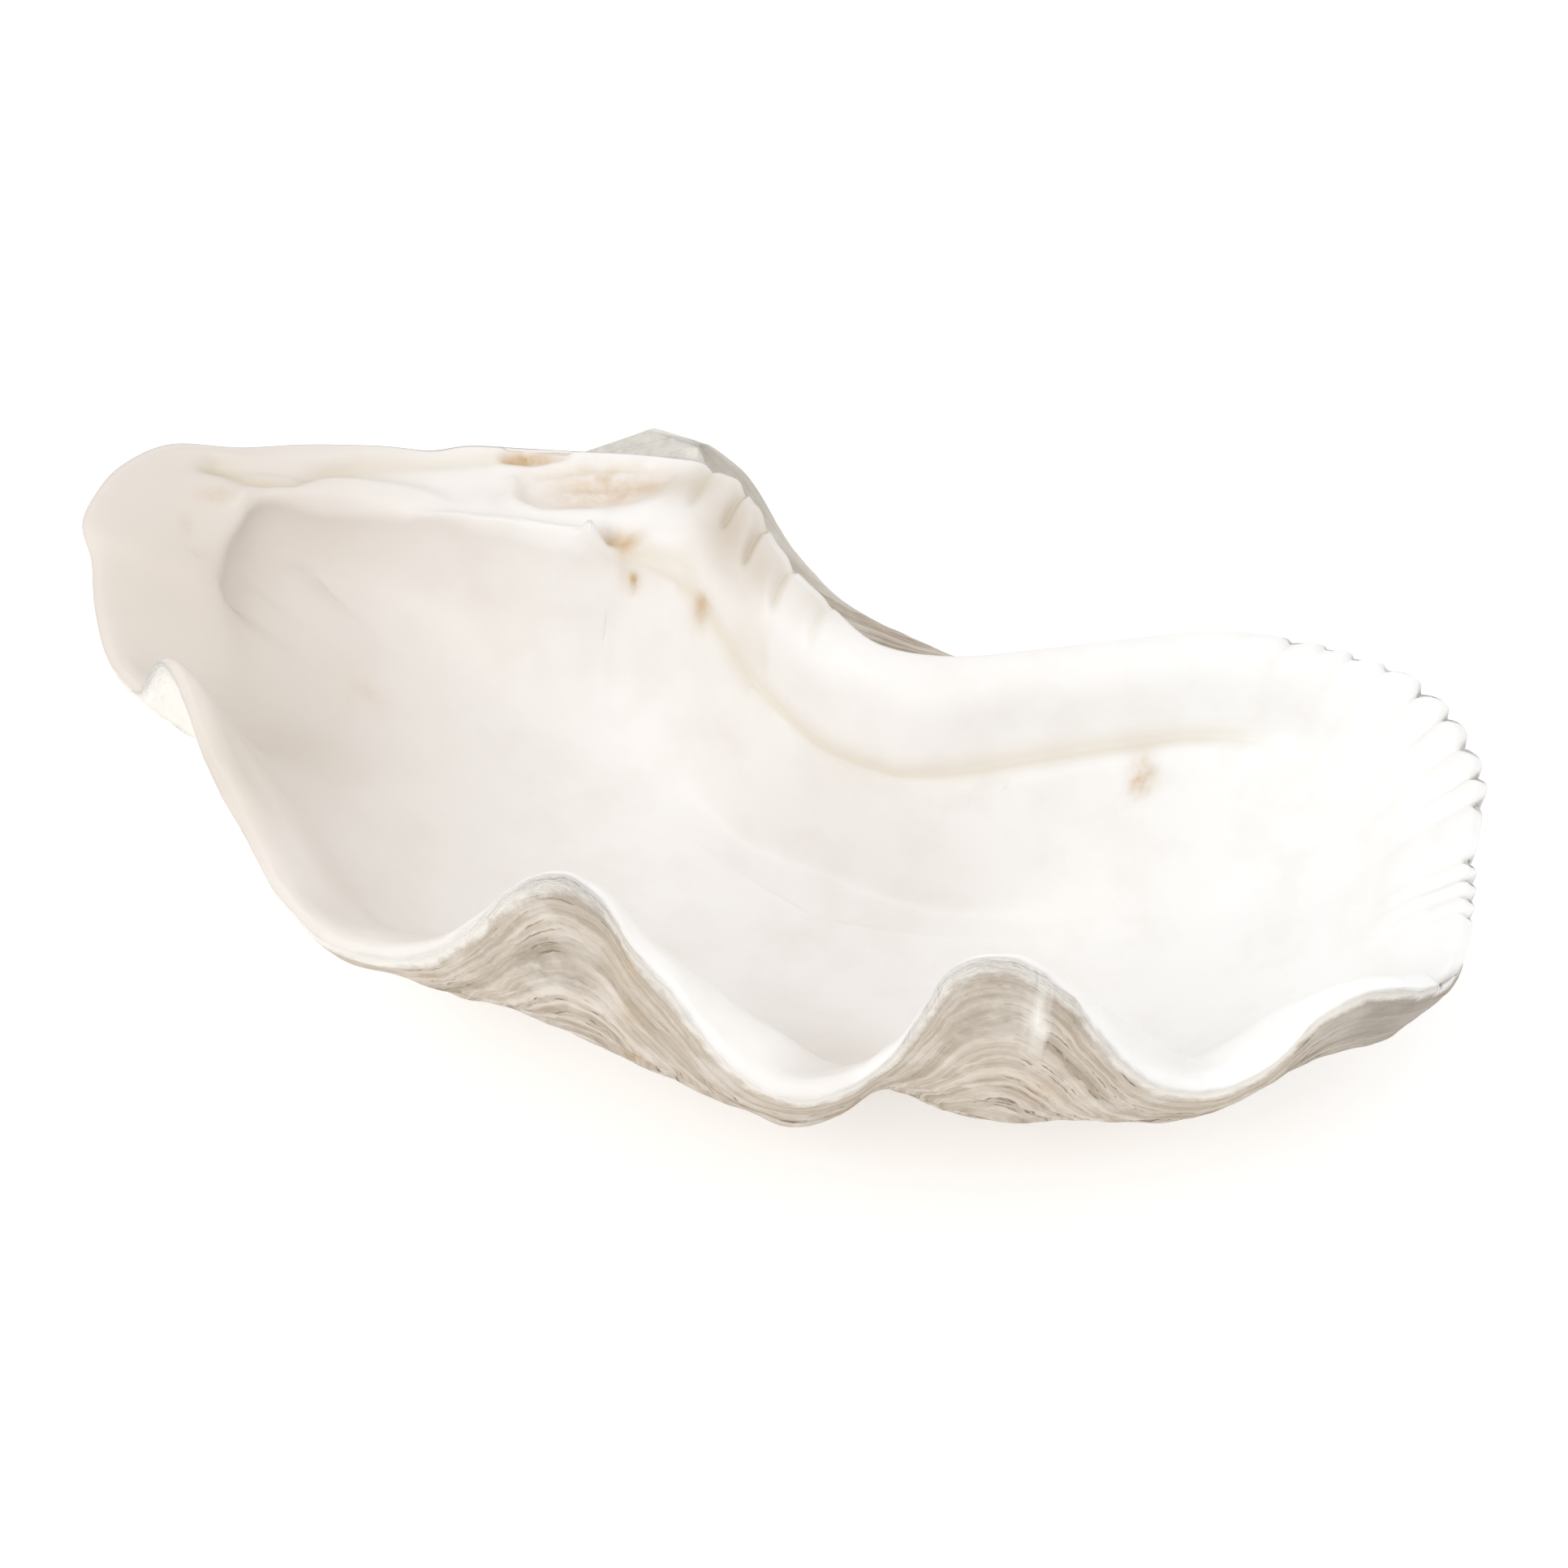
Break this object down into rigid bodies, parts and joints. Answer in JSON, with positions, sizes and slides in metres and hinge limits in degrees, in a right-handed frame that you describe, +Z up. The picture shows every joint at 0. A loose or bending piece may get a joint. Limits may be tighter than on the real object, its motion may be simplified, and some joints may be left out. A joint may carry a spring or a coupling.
{
  "type": "giant clam shell",
  "caption": "Single giant clam valve lying hollow side up, with a deep bowl, a wavy folded edge, a hinge plate and a small beak.",
  "frame": {"origin": "centre of the bounding box's bottom face, on the surface the valve lies on", "axes": "+X along the hinge line towards the broad crenulated end, +Y from the wavy edge to the hinge, +Z up out of the hollow"},
  "size_m": [0.5958, 0.367, 0.213],
  "materials": {
    "shell": "satin inside, chalky outside"
  },
  "bodies": {
    "root": {"clam_valve": "shell"}
  },
  "joints": []
}
